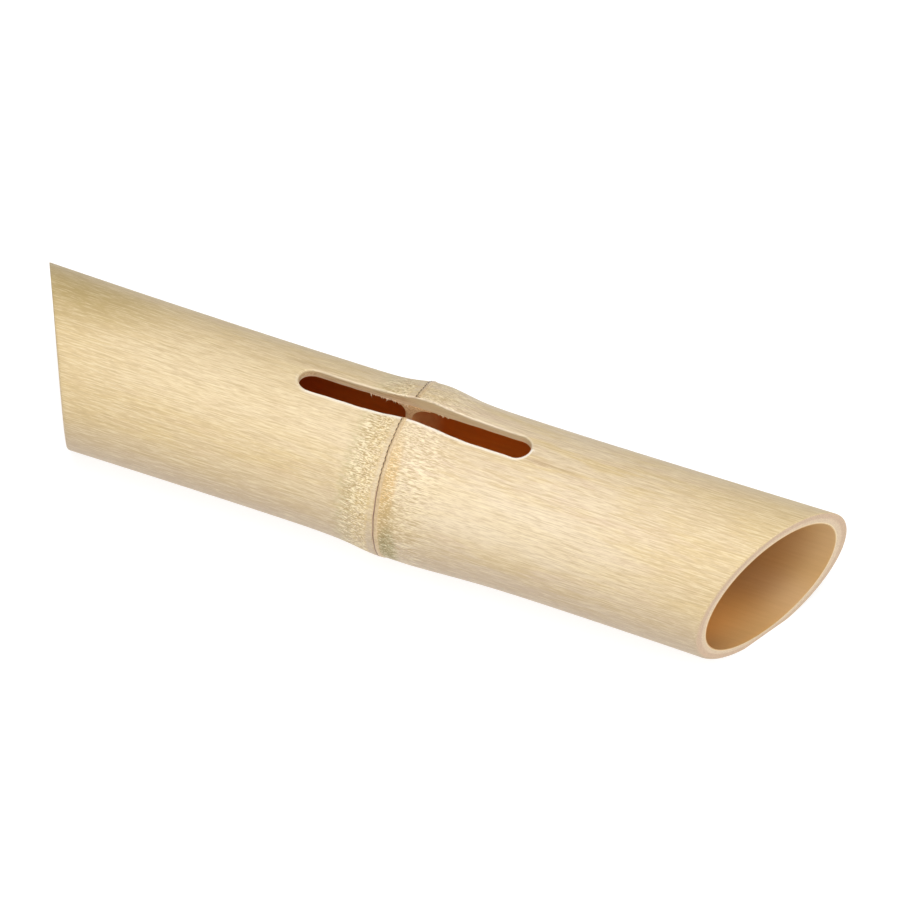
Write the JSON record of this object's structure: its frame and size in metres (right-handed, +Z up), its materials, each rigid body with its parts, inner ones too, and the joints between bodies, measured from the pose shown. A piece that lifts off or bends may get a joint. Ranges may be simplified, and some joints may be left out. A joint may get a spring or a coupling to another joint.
{
  "type": "bamboo sounding tube",
  "caption": "Open bamboo culm with slant-cut ends, a node at mid length and a long routed slot across the node, which sends sound from the slot out of both ends.",
  "frame": {"origin": "on the surface that the tube stands on, at the middle of its length and width", "axes": "+X along the culm from the root end to the tip end, +Y to the back, which is the long side of both slant cuts, +Z up through the slot"},
  "size_m": [0.3, 0.0642, 0.0612],
  "materials": {
    "sanded_bamboo": "sanded, satin, fine straight grain",
    "sheath_scar": "raw, slightly glossy ridge",
    "diaphragm": "raw, fibrous where it is cut",
    "pith_lining": "smooth, papery"
  },
  "bodies": {
    "root": {"lower_internode": "sanded_bamboo", "lower_node_flare": "sanded_bamboo", "supranodal_ridge": "sanded_bamboo", "upper_internode": "sanded_bamboo", "sheath_scar_front": "sheath_scar", "sheath_scar_back": "sheath_scar", "node_diaphragm": "diaphragm", "lower_pith_lining": "pith_lining", "upper_pith_lining": "pith_lining"}
  },
  "joints": []
}
